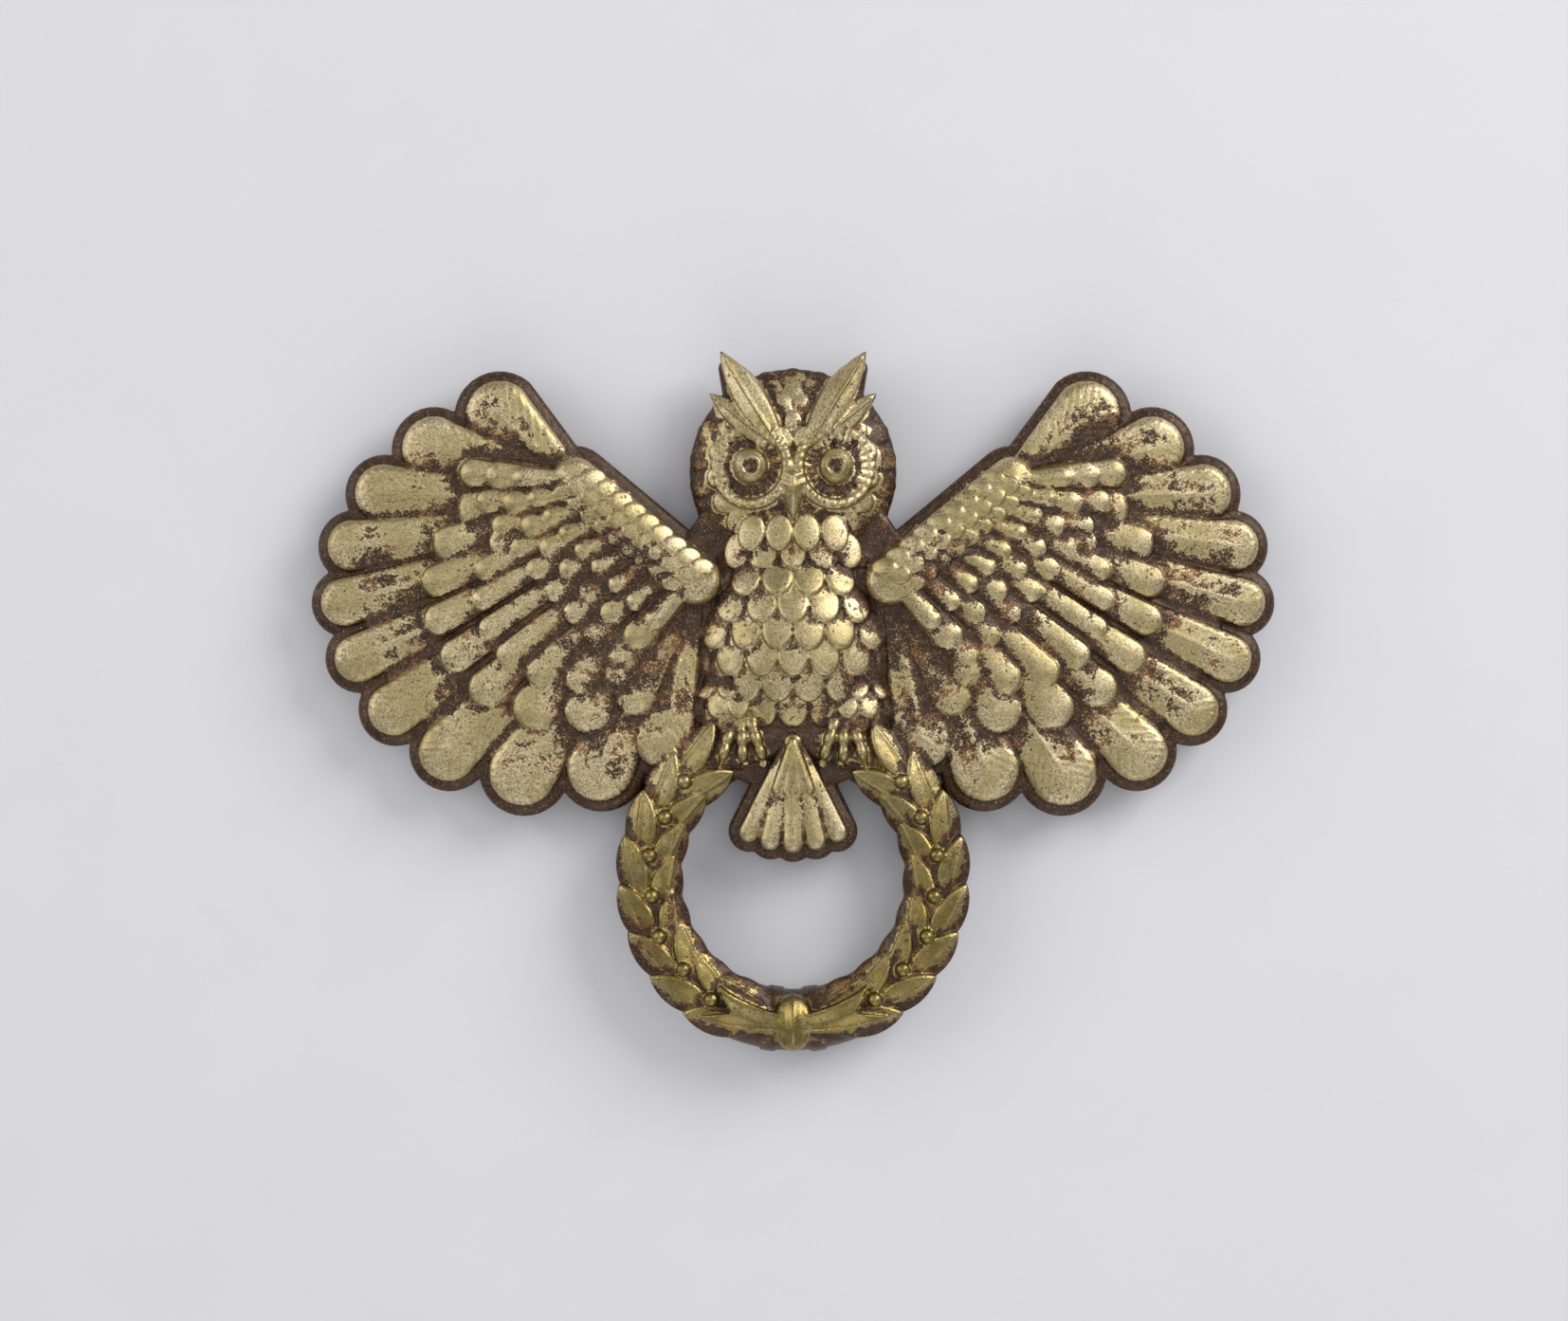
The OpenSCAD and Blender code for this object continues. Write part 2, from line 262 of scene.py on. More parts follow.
def join(pieces, name):
    select_only(*pieces)
    bpy.ops.object.join()
    piece = bpy.context.object
    piece.name = name
    piece.data.name = name
    return piece


def turn_over(piece):
    """Makes a mirrored copy face outwards again."""
    piece.data.flip_normals()


def discard(*models):
    for model in models:
        bpy.data.objects.remove(model)


# Where everything lies, measured from the wreath's centre and the rear rim -----------------------


def lay_out():
    """The badge's plan, in millimetres."""
    p = SimpleNamespace()
    p.rim = SHELL_LOW.z / MM
    p.shift = SHELL_LOW.y / MM + size("wreath_r") + 2.2
    p.span = (SHELL_HIGH.x - SHELL_LOW.x) / MM - 0.1
    # Blanks reach below the rear rim, where the fused skin is cut off
    p.below = 1.0
    p.flat = p.rim + 1.3
    p.perch = size("wreath_r")
    p.body = np.array([0, p.perch + size("body_rise")])
    p.head = p.body + [0, size("head_rise")]
    p.body_rim = math.sqrt(size("body_r") ** 2 - size("body_sink") ** 2)
    p.head_rim = math.sqrt(size("head_r") ** 2 - size("head_sink") ** 2)
    p.top = SHELL_HIGH.y / MM - p.shift
    p.shoulder = np.array([p.body_rim - 0.9, p.body[1] + 3.4])
    p.wrist = p.shoulder + WRIST
    p.fan = p.shoulder + FAN_CENTRE
    p.step = FAN_SWEEP / (size_count("feathers") - 1)
    p.fan_h = size("fan_half_h")
    widest = p.fan_h * math.sin(math.radians(p.step)) / 2 - size("groove") / 2
    p.fan_w = p.span / 2 - p.fan[0] - widest - size("border")
    return p


def feather_row(p, count, first, reach, fill):
    """Root, tip and tip radius of each feather in one row of a wing's fan."""
    made = []
    tips = []
    for i in range(-1, count):
        late = max(0, i - (count - 4))
        share = reach * (1 - 0.03 * late - 0.022 * late * late)
        tips.append(p.fan + share * np.array([p.fan_w, p.fan_h]) * direction(first - p.step * i))
    for i in range(count):
        half_gap = np.linalg.norm(tips[i + 1] - tips[i]) / 2
        root = p.wrist + (p.shoulder - p.wrist) * i / (count - 1)
        made.append((root, tips[i + 1], min(half_gap * fill, 2.6) - size("groove") / 2))
    return made


# Blanks: each repeated shape is modelled once ----------------------------------------------------


def model_feather():
    """A feather of width 1 and height 1: a round block, its shoulder bevelled and its top crowned."""
    piece = start(
        bpy.ops.mesh.primitive_cylinder_add,
        vertices=32, radius=0.5, depth=0.78, location=(0, 0, 0.39),
    )
    edit(piece)
    pick("faces", lambda face: face.normal.z > 0.9)
    bpy.ops.mesh.inset(thickness=0.035, depth=0.10)
    bpy.ops.mesh.inset(thickness=0.075, depth=0.07)
    bpy.ops.mesh.inset(thickness=0.3, depth=0.05)
    leave()
    return piece


def model_leaf():
    """A laurel leaf of length 1, width 1 and height 1, pointed at both ends, with a raised midrib."""
    piece = start(
        bpy.ops.mesh.primitive_cylinder_add,
        vertices=40, radius=0.5, depth=0.6, location=(0, 0, 0.3),
    )
    edit(piece)
    pick("faces", lambda face: face.normal.z > 0.9)
    bpy.ops.mesh.inset(thickness=0.05, depth=0.16)
    bpy.ops.mesh.inset(thickness=0.3, depth=0.12)
    leave()
    co = points(piece)
    # A circle's ends are drawn out to points
    co[:, 1] *= np.clip(1 - (2 * co[:, 0]) ** 2, 0.02, 1) ** 0.35
    move_points(piece, co)
    rib = copy_of(piece)
    move_points(rib, co * (0.94, 0.13, 1.14))
    return join([piece, rib], "leaf")


def lay_feather(model, side, root, tip, root_r, tip_r, low, high, roll=0.0, lift=0.0):
    """Stretches a copy of the feather from a root to a tip. Its ends stay round."""
    piece = copy_of(model)
    co = points(piece)
    along = np.asarray(tip) - root
    reach = np.linalg.norm(along)
    tip_half = co[:, 0] > -1e-4
    radius = np.where(tip_half, tip_r, root_r)
    x = co[:, 0] * 2 * radius + np.where(tip_half, reach, 0)
    y = co[:, 1] * 2 * radius
    top = np.clip((co[:, 2] - 0.3) * 4, 0, 1)
    z = low + co[:, 2] * (high - low) + top * (y * math.tan(math.radians(roll)) + lift * (x / reach - 0.5))
    c, s = along / reach
    laid = np.stack([root[0] + x * c - y * s, root[1] + x * s + y * c, z], 1)
    laid[:, 0] *= side
    move_points(piece, laid)
    if side < 0:
        turn_over(piece)
    return piece


def lay_on(model, side, place, ahead, out, scale, tilt=0.0):
    """Lays a copy with its X axis ahead and its Z axis out of a surface, its front end tilted up."""
    piece = copy_of(model)
    out = Vector(out).normalized()
    ahead = (Vector(ahead) - out * out.dot(Vector(ahead))).normalized()
    basis = Matrix((ahead, out.cross(ahead), out)).transposed()
    basis = basis @ Matrix.Rotation(-math.radians(tilt), 3, "Y")
    laid = (points(piece) * scale) @ np.array(basis).T + np.asarray(place, float)
    laid[:, 0] *= side
    move_points(piece, laid)
    if side < 0:
        turn_over(piece)
    return piece


def dome(centre, radii, cut):
    """A smooth dome, closed off flat below the rear rim."""
    piece = start(bpy.ops.mesh.primitive_uv_sphere_add, segments=96, ring_count=64, radius=1)
    move_points(piece, points(piece) * radii + centre)
    edit(piece)
    bpy.ops.mesh.select_all(action="SELECT")
    bpy.ops.mesh.bisect(plane_co=(0, 0, cut), plane_no=(0, 0, 1), use_fill=True, clear_inner=True)
    leave()
    return piece


def disc(centre, radius, low, high):
    """A flat round part of the ground with a rolled edge."""
    piece = start(
        bpy.ops.mesh.primitive_cylinder_add,
        vertices=96, radius=radius, depth=high - low, location=(*centre, (low + high) / 2),
    )
    roll_edge(piece, 0.4)
    return piece


def roll_edge(piece, width):
    edit(piece)
    pick("edges", lambda e: sorted(round(f.normal.z) for f in e.link_faces) == [0, 1])
    bpy.ops.mesh.bevel(offset=width, segments=4)
    leave()


# The wings --------------------------------------------------------------------------------------


def wing_blanks(p, feather):
    """Ground, flight feathers, two rows of coverts, three that follow the arm, and the arm itself."""
    low = p.rim - p.below
    ground = p.rim + size("ground_h")
    border = size("border")
    count = size_count("feathers")
    flights = feather_row(p, count, FIRST_ANGLE, 1, 1)
    gaps = feather_row(p, count - 1, FIRST_ANGLE - p.step / 2, 0.9, 1.15)
    # Reach of each row, how much of the gap it fills, its height above the ground and its root radius
    rows = [(1.0, 1.0, 0.85, 0.8), (0.68, 1.1, 1.2, 0.75), (0.52, 1.15, 1.45, 0.7)]
    made = []
    for side in (-1, 1):
        for root, tip, tip_r in flights + gaps:
            wide = tip_r + border
            made.append(lay_feather(feather, side, root, tip, 0.8 + border, wide, low, ground + 0.05))
        arm_r = size("arm_r") + border
        made.append(lay_feather(feather, side, p.shoulder, p.wrist, arm_r, arm_r, low, ground))
        for k, (reach, fill, rise, root_r) in enumerate(rows):
            first = FIRST_ANGLE - p.step * k / 2
            top = ground + rise
            lift = 0.22 if k else -0.2
            for root, tip, tip_r in feather_row(p, count - k, first, reach, fill):
                made.append(lay_feather(feather, side, root, tip, root_r, tip_r, low, top, 4, lift))
            # A lower bed keeps the grooves shallow towards the roots
            bed = feather_row(p, count - k - 1, first - p.step / 2, reach * 0.86, fill * 1.25)
            for root, tip, tip_r in bed:
                made.append(lay_feather(feather, side, root, tip, root_r + 0.3, tip_r, low, top - 0.42))
        # Small rows follow the arm: how far each reaches from it, and its number of feathers
        for k, (distance, row_count) in enumerate([(6.9, 9), (5.2, 8), (3.6, 9)]):
            top = ground + 1.6 + 0.22 * k
            for root, tip, tip_r in arm_row(p, row_count, distance):
                made.append(lay_feather(feather, side, root, tip, 0.7, tip_r, low, top, 5, 0.16))
        made += arm_blanks(p, feather, side, low, ground)
    return made


def arm_row(p, count, distance):
    """Root, tip and tip radius of each small feather in a row that follows the arm."""
    roots = [p.wrist + (p.shoulder - p.wrist) * (i + 0.25) / (count - 0.5) for i in range(count + 1)]
    tips = []
    for i, root in enumerate(roots):
        aim = p.fan + 0.8 * np.array([p.fan_w, p.fan_h]) * direction(48 - 130 * i / count) - root
        tips.append(root + aim / np.linalg.norm(aim) * distance)
    gaps = [np.linalg.norm(tips[i + 1] - tips[i]) / 2 for i in range(count)]
    return [(roots[i], tips[i], gaps[i] * 1.08 - 0.08) for i in range(count)]


def arm_blanks(p, feather, side, low, ground):
    """The arm's round leading edge, with rows of small feathers lying over it."""
    crest = ground + 2.2
    made = [lay_feather(feather, side, p.shoulder, p.wrist, size("arm_r"), size("arm_r") * 0.9, low, crest)]
    along = (p.wrist - p.shoulder) / np.linalg.norm(p.wrist - p.shoulder)
    reach = np.linalg.norm(p.wrist - p.shoulder)
    across = np.array([along[1], -along[0]])
    for i in range(9):
        for row in range(3):
            offset = -0.75 + 0.85 * row
            place = p.shoulder + along * reach * (i + 0.2 + 0.35 * row) / 9 + across * offset
            ahead = (*(across * 0.8 + along), 0)
            out = (*(across * 0.3 * offset), 1)
            height = crest - 0.52 - 0.2 * offset**2
            made.append(lay_on(feather, side, (*place, height), ahead, out, (1.7, 1.25, 0.75), 9))
    return made


# The owl ----------------------------------------------------------------------------------------


def breast_blanks(p, feather):
    """The breast's dome, with rows of small feathers that overlap like tiles."""
    radii = np.array([size("body_r"), size("body_half_len"), size("body_r")])
    centre = np.array([0, p.body[1], p.rim - size("body_sink")])
    made = [dome(centre, radii, p.rim - p.below)]
    for side in (-1, 1):
        middle = (0, p.body[1] + side * 2.7)
        made.append(disc(middle, p.body_rim + size("border"), p.rim - p.below, p.flat))
    rows = 8
    for row in range(rows):
        y = 5.2 - row * 1.72
        offset = 0.5 * (row % 2)
        for i in range(-4, 5):
            x = (i + offset) * 2.05
            across = (x / radii[0]) ** 2 + (y / radii[1]) ** 2
            if across > 0.5:
                continue
            on = np.array([x, y, radii[2] * math.sqrt(1 - across)])
            out = on / radii**2
            out /= np.linalg.norm(out)
            place = centre + on - out * 0.62
            made.append(lay_on(feather, 1, place, (x * 0.03, -1, 0), out, (2.7, 2.1, 0.92), 9))
    return made


def head_point(p, x, y, lift=0.0):
    """A point on the head's dome, x and y from the head's middle, and the way out of it."""
    r = size("head_r")
    out = np.array([x, y, math.sqrt(r * r - x * x - y * y)]) / r
    return np.array([0, p.head[1], p.rim - size("head_sink")]) + out * (r + lift), out


def head_blanks(p, feather, leaf):
    """The head's dome, the ruff round the face, facial discs, eyes, brows, ear tufts and beak."""
    r = size("head_r")
    low = p.rim - p.below
    made = [dome(np.array([0, p.head[1], p.rim - size("head_sink")]), np.array([r, r, r]), low)]
    made.append(disc(p.head, p.head_rim, low, p.rim + 0.6))
    for radius, count, width in ((6.0, 22, 1.85), (4.8, 19, 1.7)):
        for i in range(count):
            way = direction(-90 + 360 * (i + 0.5 * (radius < 5)) / count)
            on, out = head_point(p, *(radius * way), -0.42)
            made.append(lay_on(feather, 1, on, (*way, 0), out, (2.1, width, 0.8), 15))
    for row in range(4):
        for i in range(-2, 3):
            on, out = head_point(p, (i + 0.5 * (row % 2)) * 1.3, 5.3 - row * 1.05, -0.4)
            made.append(lay_on(feather, 1, on, (i * 0.12, 1, 0), out, (1.7, 1.25, 0.8), 16))
    # A bib of feathers falls over the top of the breast
    for row, count in enumerate((5, 4)):
        for i in range(count):
            x = (i - (count - 1) / 2) * 1.75
            place = np.array([x, p.head[1] - 5.3 + 1.15 * row, p.rim + 2.35 + 0.22 * row - 0.05 * x * x])
            out = (0.09 * x, 0.05, 1)
            made.append(lay_on(feather, 1, place, (0.08 * x, -1, 0), out, (2.5, 1.8, 0.8), 5))
    for side in (-1, 1):
        made += face_blanks(p, feather, leaf, side)
    made += beak_blank(p)
    return made


def face_blanks(p, feather, leaf, side):
    """One side's facial disc, eye, brow and ear tuft."""
    on, out = head_point(p, size("eye_x"), 0.3)
    rim = start(
        bpy.ops.mesh.primitive_torus_add,
        major_radius=size("disc_r"), minor_radius=0.38, major_segments=72, minor_segments=16,
    )
    made = [lay_on(rim, side, on - out * 0.22, (1, 0, 0), out, (1, 1, 1))]
    ball = start(bpy.ops.mesh.primitive_uv_sphere_add, segments=48, ring_count=32, radius=size("eye_r"))
    made.append(lay_on(ball, side, on + out * 0.02, (1, 0, 0), out, (1, 1, 1)))
    discard(rim, ball)
    # Three strands rise from the beak over the eye, the tallest lying on the other two
    top = p.top - p.head[1]
    strands = [(0.5, 1.0, 5.25, top - 3.0, 1.6, 0.0), (0.9, 1.9, 3.3, top - 1.1, 1.5, 0.0)]
    strands.append((0.55, 1.2, 4.55, top - 0.25, 2.0, 0.32))
    for x, y, tip_x, tip_y, width, rise in strands:
        root = np.array([x, p.head[1] + y, p.rim + 2.5 + rise])
        end = np.array([tip_x, p.head[1] + tip_y, p.rim + 0.45 + rise])
        reach = np.linalg.norm(end - root) + 0.1
        place = (root + end) / 2 + [0, 0, 0.3]
        made.append(lay_on(leaf, side, place, end - root, (0.2, 0.1, 1), (reach, width, 1.5)))
    low = p.rim - p.below
    # The ground under the tuft's long and short strands
    beds = (((3.2, 4.0), (4.25, top - 1.15), 1.4, 0.72), ((3.0, 3.2), (4.7, 4.55), 1.0, 0.5))
    for root, tip, root_r, tip_r in beds:
        root = np.array([root[0], p.head[1] + root[1]])
        tip = np.array([tip[0], p.head[1] + tip[1]])
        made.append(lay_feather(feather, side, root, tip, root_r, tip_r, low, p.rim + 1.25))
    return made


def beak_blank(p):
    """A hooked beak: a round form with a sharp ridge and a tip drawn down to a point."""
    piece = start(bpy.ops.mesh.primitive_uv_sphere_add, segments=48, ring_count=32, radius=1)
    co = points(piece)
    down = np.clip(0.5 - co[:, 1] / 2, 0, 1)
    slim = 1 - 0.82 * down**1.6
    ridge = 1 - 0.35 * np.abs(co[:, 0])
    laid = np.stack([co[:, 0] * 0.95 * slim, co[:, 1] * 1.9, co[:, 2] * 1.1 * slim * ridge], 1)
    laid[:, 2] += 0.25 * np.sin(np.pi * down) - 0.35 * down**2
    on = head_point(p, 0, -0.9)[0]
    move_points(piece, laid + on + [0, -0.6, -0.12])
    return [piece]


def leg_blanks(p, feather):
    """Feathered thighs, and three clawed toes on each side that grip the wreath."""
    made = []
    thigh = size("thigh_r")
    ball = start(bpy.ops.mesh.primitive_uv_sphere_add, segments=28, ring_count=18, radius=1)
    claw = start(bpy.ops.mesh.primitive_cone_add, vertices=20, radius1=1, radius2=0.08, depth=2)
    move_points(claw, points(claw)[:, [2, 1, 0]])
    turn_over(claw)
    for side in (-1, 1):
        centre = np.array([thigh + 0.1, p.perch + 1.9, p.rim - 1.2])
        blank = dome(centre, np.array([thigh, thigh + 0.3, thigh]), p.rim - p.below)
        move_points(blank, points(blank) * (side, 1, 1))
        if side < 0:
            turn_over(blank)
        made.append(blank)
        for row in range(4):
            for i in range(-2, 3):
                across = np.array([(i + 0.5 * (row % 2)) * 1.35, 2.3 - row * 1.15])
                if np.dot(across, across) > 0.7 * thigh**2:
                    continue
                out = np.array([*across, math.sqrt(thigh**2 - np.dot(across, across))]) / thigh
                place = centre + out * (thigh - 0.38)
                made.append(lay_on(feather, side, place, (0.05 * i, -1, 0), out, (1.9, 1.45, 0.75), 12))
        for i in range(-1, 2):
            foot = np.array([3.35 + 0.62 * i, p.perch + 0.75])
            made += toe_blanks(p, ball, claw, foot, -90 + 17 * i, side)
    discard(ball, claw)
    return made


def toe_blanks(p, ball, claw, foot, angle, side):
    """Three joints that arch over the wreath, and a claw that closes on its inner edge."""
    made = []
    toe = size("toe_r")
    way = direction(angle)
    for i in range(4):
        place = foot + way * (0.1 + 0.92 * i)
        height, out = ring_top(p, place)
        ahead = (*way, 0)
        if i < 3:
            at = (*place, height + 0.32)
            made.append(lay_on(ball, side, at, ahead, out, (0.68, toe * (0.95 - 0.06 * i), toe * 1.1)))
        else:
            at = (*place, height + 0.12)
            made.append(lay_on(claw, side, at, ahead, out, (0.7, toe * 0.6, toe * 0.7), -18))
    return made


def tail_blanks(p, feather):
    """Five long feathers and four short ones that lie over their roots."""
    made = []
    low = p.rim - p.below
    root = np.array([0, p.perch - 0.5])
    border = size("border")
    for i in range(-2, 3):
        tip = root + size("tail_len") * direction(13 * i - 90)
        rise = 0.12 * (2 - abs(i))
        made.append(lay_feather(feather, 1, root, tip, 0.75 + border, 0.75 + border, low, p.flat))
        made.append(lay_feather(feather, 1, root, tip, 0.7, 0.74, low, p.rim + 2.15 + rise, 3 * i, -0.2))
    for i in range(-1, 3):
        tip = root + size("tail_len") * 0.5 * direction(13 * i - 96.5)
        made.append(lay_feather(feather, 1, root, tip, 0.4, 0.4, low, p.rim + 2.62, 0, -0.1))
    return made


# The wreath -------------------------------------------------------------------------------------


def ring_top(p, place):
    """The height of the stems under a point of the plan, and the way out of them."""
    place = np.asarray(place, float)
    r = np.linalg.norm(place)
    stem = size("stem_r")
    off = min(max(r - size("wreath_r"), -0.94 * stem), 0.94 * stem)
    rise = math.sqrt(stem**2 - off**2)
    return p.rim + rise, (*(place / r * off), rise)


def wreath_blanks(p, leaf):
    """A round bundle of stems, staggered laurel leaves with berries, and a ribbon round its foot."""
    r = size("wreath_r")
    stem = size("stem_r")
    ring = start(
        bpy.ops.mesh.primitive_torus_add,
        major_radius=r, minor_radius=stem, major_segments=160, minor_segments=40, location=(0, 0, p.rim),
    )
    berry = start(bpy.ops.mesh.primitive_uv_sphere_add, segments=24, ring_count=16, radius=size("berry_r"))
    made = [ring]
    stations = size_count("leaf_stations")
    step = 114 / (stations - 1)
    for side in (-1, 1):
        for k in range(stations):
            for row in (-1, 1):
                a = -66 + step * (k + 0.22 * row)
                way = direction(a)
                height, out = ring_top(p, way * (r + row * 0.92))
                ahead = (*(direction(a + 90) + way * row * 0.24), 0)
                place = (*(way * (r + row * 0.92)), height - 0.42)
                scale = (size("leaf_len"), size("leaf_w"), 0.9)
                made.append(lay_on(leaf, side, place, ahead, out, scale, 8.5))
            place = direction(-66 + step * (k + 0.62)) * (r + 0.12 * (-1) ** k)
            height, out = ring_top(p, place)
            if k < stations - 1:
                made.append(lay_on(berry, side, (*place, height + 0.42), (1, 0, 0), (0, 0, 1), (1, 1, 1)))
    discard(berry)
    made += ribbon_blanks(p, r, stem)
    return made


def band(p, angle, r, radius, width):
    """A turn of ribbon round the stems."""
    piece = start(bpy.ops.mesh.primitive_cylinder_add, vertices=48, radius=radius, depth=width)
    edit(piece)
    pick("edges", lambda e: any(abs(f.normal.z) > 0.9 for f in e.link_faces))
    bpy.ops.mesh.bevel(offset=0.14, segments=2)
    leave()
    along = Vector((*direction(angle + 90), 0))
    turn = np.array(along.to_track_quat("Z", "Y").to_matrix())
    move_points(piece, points(piece) @ turn.T + [*(direction(angle) * r), p.rim])
    return piece


def ribbon_end(p, side, sweep, drift, width):
    """A forked end of ribbon that lies over the leaves in soft waves."""
    piece = start(bpy.ops.mesh.primitive_cube_add, size=2)
    edit(piece)
    bpy.ops.mesh.select_all(action="SELECT")
    bpy.ops.mesh.subdivide(number_cuts=22)
    leave()
    co = points(piece)
    t = (co[:, 0] + 1) / 2
    share = t - 0.3 * t**4 * (1 - np.abs(co[:, 1]))
    off = drift * share**1.3 + co[:, 1] * width * (0.3 + 0.7 * share**0.8) / 2
    angle = np.radians(-90 + sweep * share)
    stem = size("stem_r")
    top = np.sqrt(stem**2 - np.clip(off, -0.93 * stem, 0.93 * stem) ** 2)
    top += 0.92 + 0.12 * np.sin(share * 9.5) - 0.1 * np.abs(co[:, 1]) + 0.12 * (np.abs(co[:, 1]) > 0.8)
    r = size("wreath_r") + off
    z = p.rim + top * (co[:, 2] + 1) / 2
    move_points(piece, np.stack([r * np.cos(angle) * side, r * np.sin(angle), z], 1))
    if side < 0:
        turn_over(piece)
    return piece


def ribbon_blanks(p, r, stem):
    """The knot, turns of ribbon on both sides of it and two forked ends."""
    made = []
    for side in (-1, 1):
        made.append(band(p, -90 + side * 8.5, r, stem + 0.14, 1.1))
        made.append(ribbon_end(p, side, 35, 0.3, 2.5))
    knot = start(bpy.ops.mesh.primitive_uv_sphere_add, segments=48, ring_count=32, radius=1)
    co = points(knot)
    # Soft folds run down the knot
    co[:, 2] *= 1 + 0.1 * np.cos(co[:, 0] * 8)
    move_points(knot, co * (1.35, 1.9, 1.1) + [0, -r, p.rim + stem + 0.15])
    made.append(knot)
    return made


# Fusing, engraving and hollowing the shell --------------------------------------------------------


def fuse(pieces, name, voxel):
    """Joins the blanks and remeshes them into one skin, which is cut off at the rear rim."""
    shell = join(pieces, name)
    shell.data.remesh_voxel_size = voxel
    shell.data.use_remesh_fix_poles = False
    shell.data.use_remesh_preserve_volume = True
    bpy.ops.object.voxel_remesh()
    edit(shell)
    bpy.ops.mesh.select_all(action="SELECT")
    bpy.ops.mesh.vertices_smooth(factor=0.5, repeat=1)
    bpy.ops.mesh.bisect(plane_co=(0, 0, SHELL_LOW.z / MM), plane_no=(0, 0, 1), clear_inner=True)
    leave()
    return shell


def engrave(shell, p):
    """Cuts quills, barbs, the facial discs' rays and the pupils into the skin."""
    co = points(shell)
    rise = np.zeros(len(co))
    height = co[:, 2] - p.rim
    folded = np.stack([np.abs(co[:, 0]), co[:, 1]], 1)
    for root, tip, tip_r in feather_row(p, size_count("feathers"), FIRST_ANGLE, 1, 1):
        along = tip - root
        reach = np.linalg.norm(along)
        way = along / reach
        rel = folded - root
        t = rel @ way
        off = rel @ np.array([-way[1], way[0]])
        aside = np.abs(off)
        inside = (t > 0.5 * reach) & (t < reach + tip_r) & (aside < tip_r - 0.12) & (height < 2.35)
        quill = np.exp(-((off / 0.15) ** 2)) * np.clip((reach + 0.4 * tip_r - t) / 1.5, 0, 1)
        barbs = np.cos((t - 1.1 * aside) * 2 * math.pi / 0.7)
        fade = np.clip((aside - 0.2) / 0.25, 0, 1) * np.clip((tip_r - 0.15 - aside) / 0.25, 0, 1)
        rise += np.where(inside, 0.08 * quill + 0.02 * barbs * fade, 0)
    # Rays in the facial discs, cuts across their rims, and a pupil sunk in each eye
    rel = folded - [size("eye_x"), p.head[1] + 0.3]
    gap = np.linalg.norm(rel, axis=1)
    turn = np.arctan2(rel[:, 1], rel[:, 0])
    face = height > 2.2
    rays = np.clip((gap - 1.25) / 0.2, 0, 1) * np.clip((2.15 - gap) / 0.2, 0, 1)
    cuts = np.exp(-(((gap - size("disc_r")) / 0.4) ** 2))
    rise += np.where(face, 0.05 * rays * np.cos(turn * 26) + 0.07 * cuts * np.cos(turn * 26), 0)
    on_eye = face & (gap < 1.0)
    rise -= np.where(on_eye, 0.5 * np.clip(1.2 - gap / 0.48, 0, 1) ** 0.6, 0)
    rise -= np.where(on_eye, 0.06 * np.exp(-(((gap - 0.8) / 0.1) ** 2)), 0)
    # Gentle unevenness of a hand-cut die
    uneven = np.array([noise.noise(Vector(v) * 0.45) + 0.5 * noise.noise(Vector(v) * 1.3) for v in co])
    rise += 0.035 * uneven * np.clip(height, 0, 1)
    co[:, 2] += rise * np.clip(height * 2, 0, 1)
    move_points(shell, co)


def blur(field, inside, cells):
    """The mean of a field round each cell, over the cells inside the outline only."""
    fy = np.fft.fftfreq(field.shape[0])[:, None]
    fx = np.fft.rfftfreq(field.shape[1])[None, :]
    kernel = np.exp(-2 * (math.pi * cells) ** 2 * (fx * fx + fy * fy))

    def soften(values):
        return np.fft.irfft2(np.fft.rfft2(values) * kernel, s=field.shape)

    return soften(field * inside) / np.maximum(soften(inside), 1e-3)


def height_map(co):
    """The skin's height on a grid, which cells it covers, and the grid's lower corner."""
    low = co[:, :2].min(0) - 4
    index = ((co[:, :2] - low) / CELL).astype(int)
    shape = index.max(0) + int(4 / CELL)
    field = np.full(shape[::-1], -1e9)
    np.maximum.at(field, (index[:, 1], index[:, 0]), co[:, 2])
    inside = (field > -1e8).astype(float)
    return np.where(inside > 0, field, 0), inside, low


def sample(field, co, low):
    """A grid's value at each point, blended between cells."""
    at = (co[:, :2] - low) / CELL - 0.5
    base = np.clip(at.astype(int), 0, np.array(field.shape[::-1]) - 2)
    fx, fy = np.clip(at - base, 0, 1).T
    x, y = base.T
    row = field[y, x] * (1 - fx) + field[y, x + 1] * fx
    above = field[y + 1, x] * (1 - fx) + field[y + 1, x + 1] * fx
    return row * (1 - fy) + above * fy


def neighbour_mean(values, edges, count):
    """Each vertex's mean over the vertices that it shares an edge with."""
    total = np.zeros((count, values.shape[1]))
    for a, b in ((0, 1), (1, 0)):
        for axis in range(values.shape[1]):
            total[:, axis] += np.bincount(edges[:, a], values[edges[:, b], axis], count)
    shared = np.bincount(edges.ravel(), minlength=count)[:, None]
    return total / np.maximum(shared, 1)


